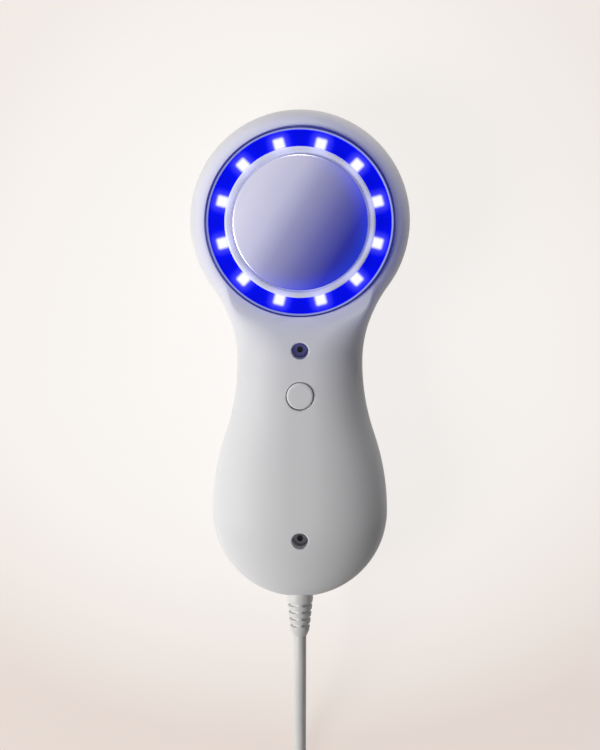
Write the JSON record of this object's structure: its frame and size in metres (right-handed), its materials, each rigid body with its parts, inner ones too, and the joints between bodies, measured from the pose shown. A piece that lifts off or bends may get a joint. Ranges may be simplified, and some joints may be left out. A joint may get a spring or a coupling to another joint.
{
  "type": "cooling facial massager",
  "caption": "Handheld cooling massager: waisted white body, round head with a domed metal cold plate in a lit blue ring, one push button, rear fan grille and a cord with a barrel plug.",
  "frame": {"origin": "middle of the rear grille's flat face, on the surface that the massager lies on", "axes": "+Z is the way the cold plate faces, +Y runs from the tail to the head, +X is to the right seen from the front"},
  "size_m": [0.091, 0.3208, 0.0404],
  "materials": {
    "housing_white": "satin gloss",
    "collar_white": "gloss",
    "soft_white": "satin",
    "trim_blue": "gloss",
    "lens_blue": "frosted, lit from behind",
    "seal_grey": "matte",
    "plate_metal": "fine satin",
    "sink_metal": "extruded",
    "screw_steel": "zinc plated",
    "screw_black": "black oxide",
    "board_green": "solder mask",
    "part_black": "moulded",
    "lamp_white": "lit",
    "ceramic_white": "fired ceramic",
    "pellet_grey": "dull",
    "foam_grey": "foam",
    "socket_ivory": "moulded",
    "copper_brown": "enamelled wire",
    "wire_sleeve": "insulation",
    "capacitor_blue": "sleeved",
    "bronze": "sintered",
    "barrel_nickel": "nickel plated",
    "plunger_amber": "moulded"
  },
  "bodies": {
    "massager": {"front_housing": "housing_white", "rear_housing": "housing_white", "rear_grille": "housing_white", "trim_ring": "trim_blue", "light_lens": "lens_blue", "plate_collar": "collar_white", "plate_seal": "seal_grey", "cold_plate": "plate_metal", "lamp_board": "board_green", "lamps_smd": "lamp_white", "module_insulation": "foam_grey", "module_ceramics": "ceramic_white", "module_pellets": "pellet_grey", "heat_sink": "sink_metal", "plate_screws": "screw_steel", "sink_screws": "screw_steel", "fan_frame": "part_black", "fan_bearing": "bronze", "fan_stator": "copper_brown", "fan_screws": "screw_steel", "main_board": "board_green", "board_chips": "part_black", "board_capacitor": "capacitor_blue", "board_inductor": "part_black", "wire_sockets": "socket_ivory", "inner_wires": "wire_sleeve", "board_screws": "screw_steel", "switch_body": "part_black", "housing_screws": "screw_black", "strain_relief": "soft_white", "power_lead": "soft_white", "lead_coil": "soft_white", "lead_tie": "part_black", "plug_lead": "soft_white", "plug_grip": "soft_white", "plug_barrel": "barrel_nickel", "plug_insulator": "part_black", "plug_contact": "bronze"},
    "button": {"button_cap": "housing_white", "switch_plunger": "plunger_amber"},
    "fan": {"fan_rotor": "part_black", "fan_shaft": "screw_steel"}
  },
  "joints": [
    {"name": "button_press", "type": "slide", "parent": "massager", "child": "button", "axis": [0, 0, -1], "range_m": [0, 0.0004], "stiffness_N_per_m": 3000, "springref_m": -0.00005},
    {"name": "fan_spin", "type": "hinge", "parent": "massager", "child": "fan", "pos_m": [0, 0, 0.0085], "axis": [0, 0, 1], "continuous": true}
  ]
}
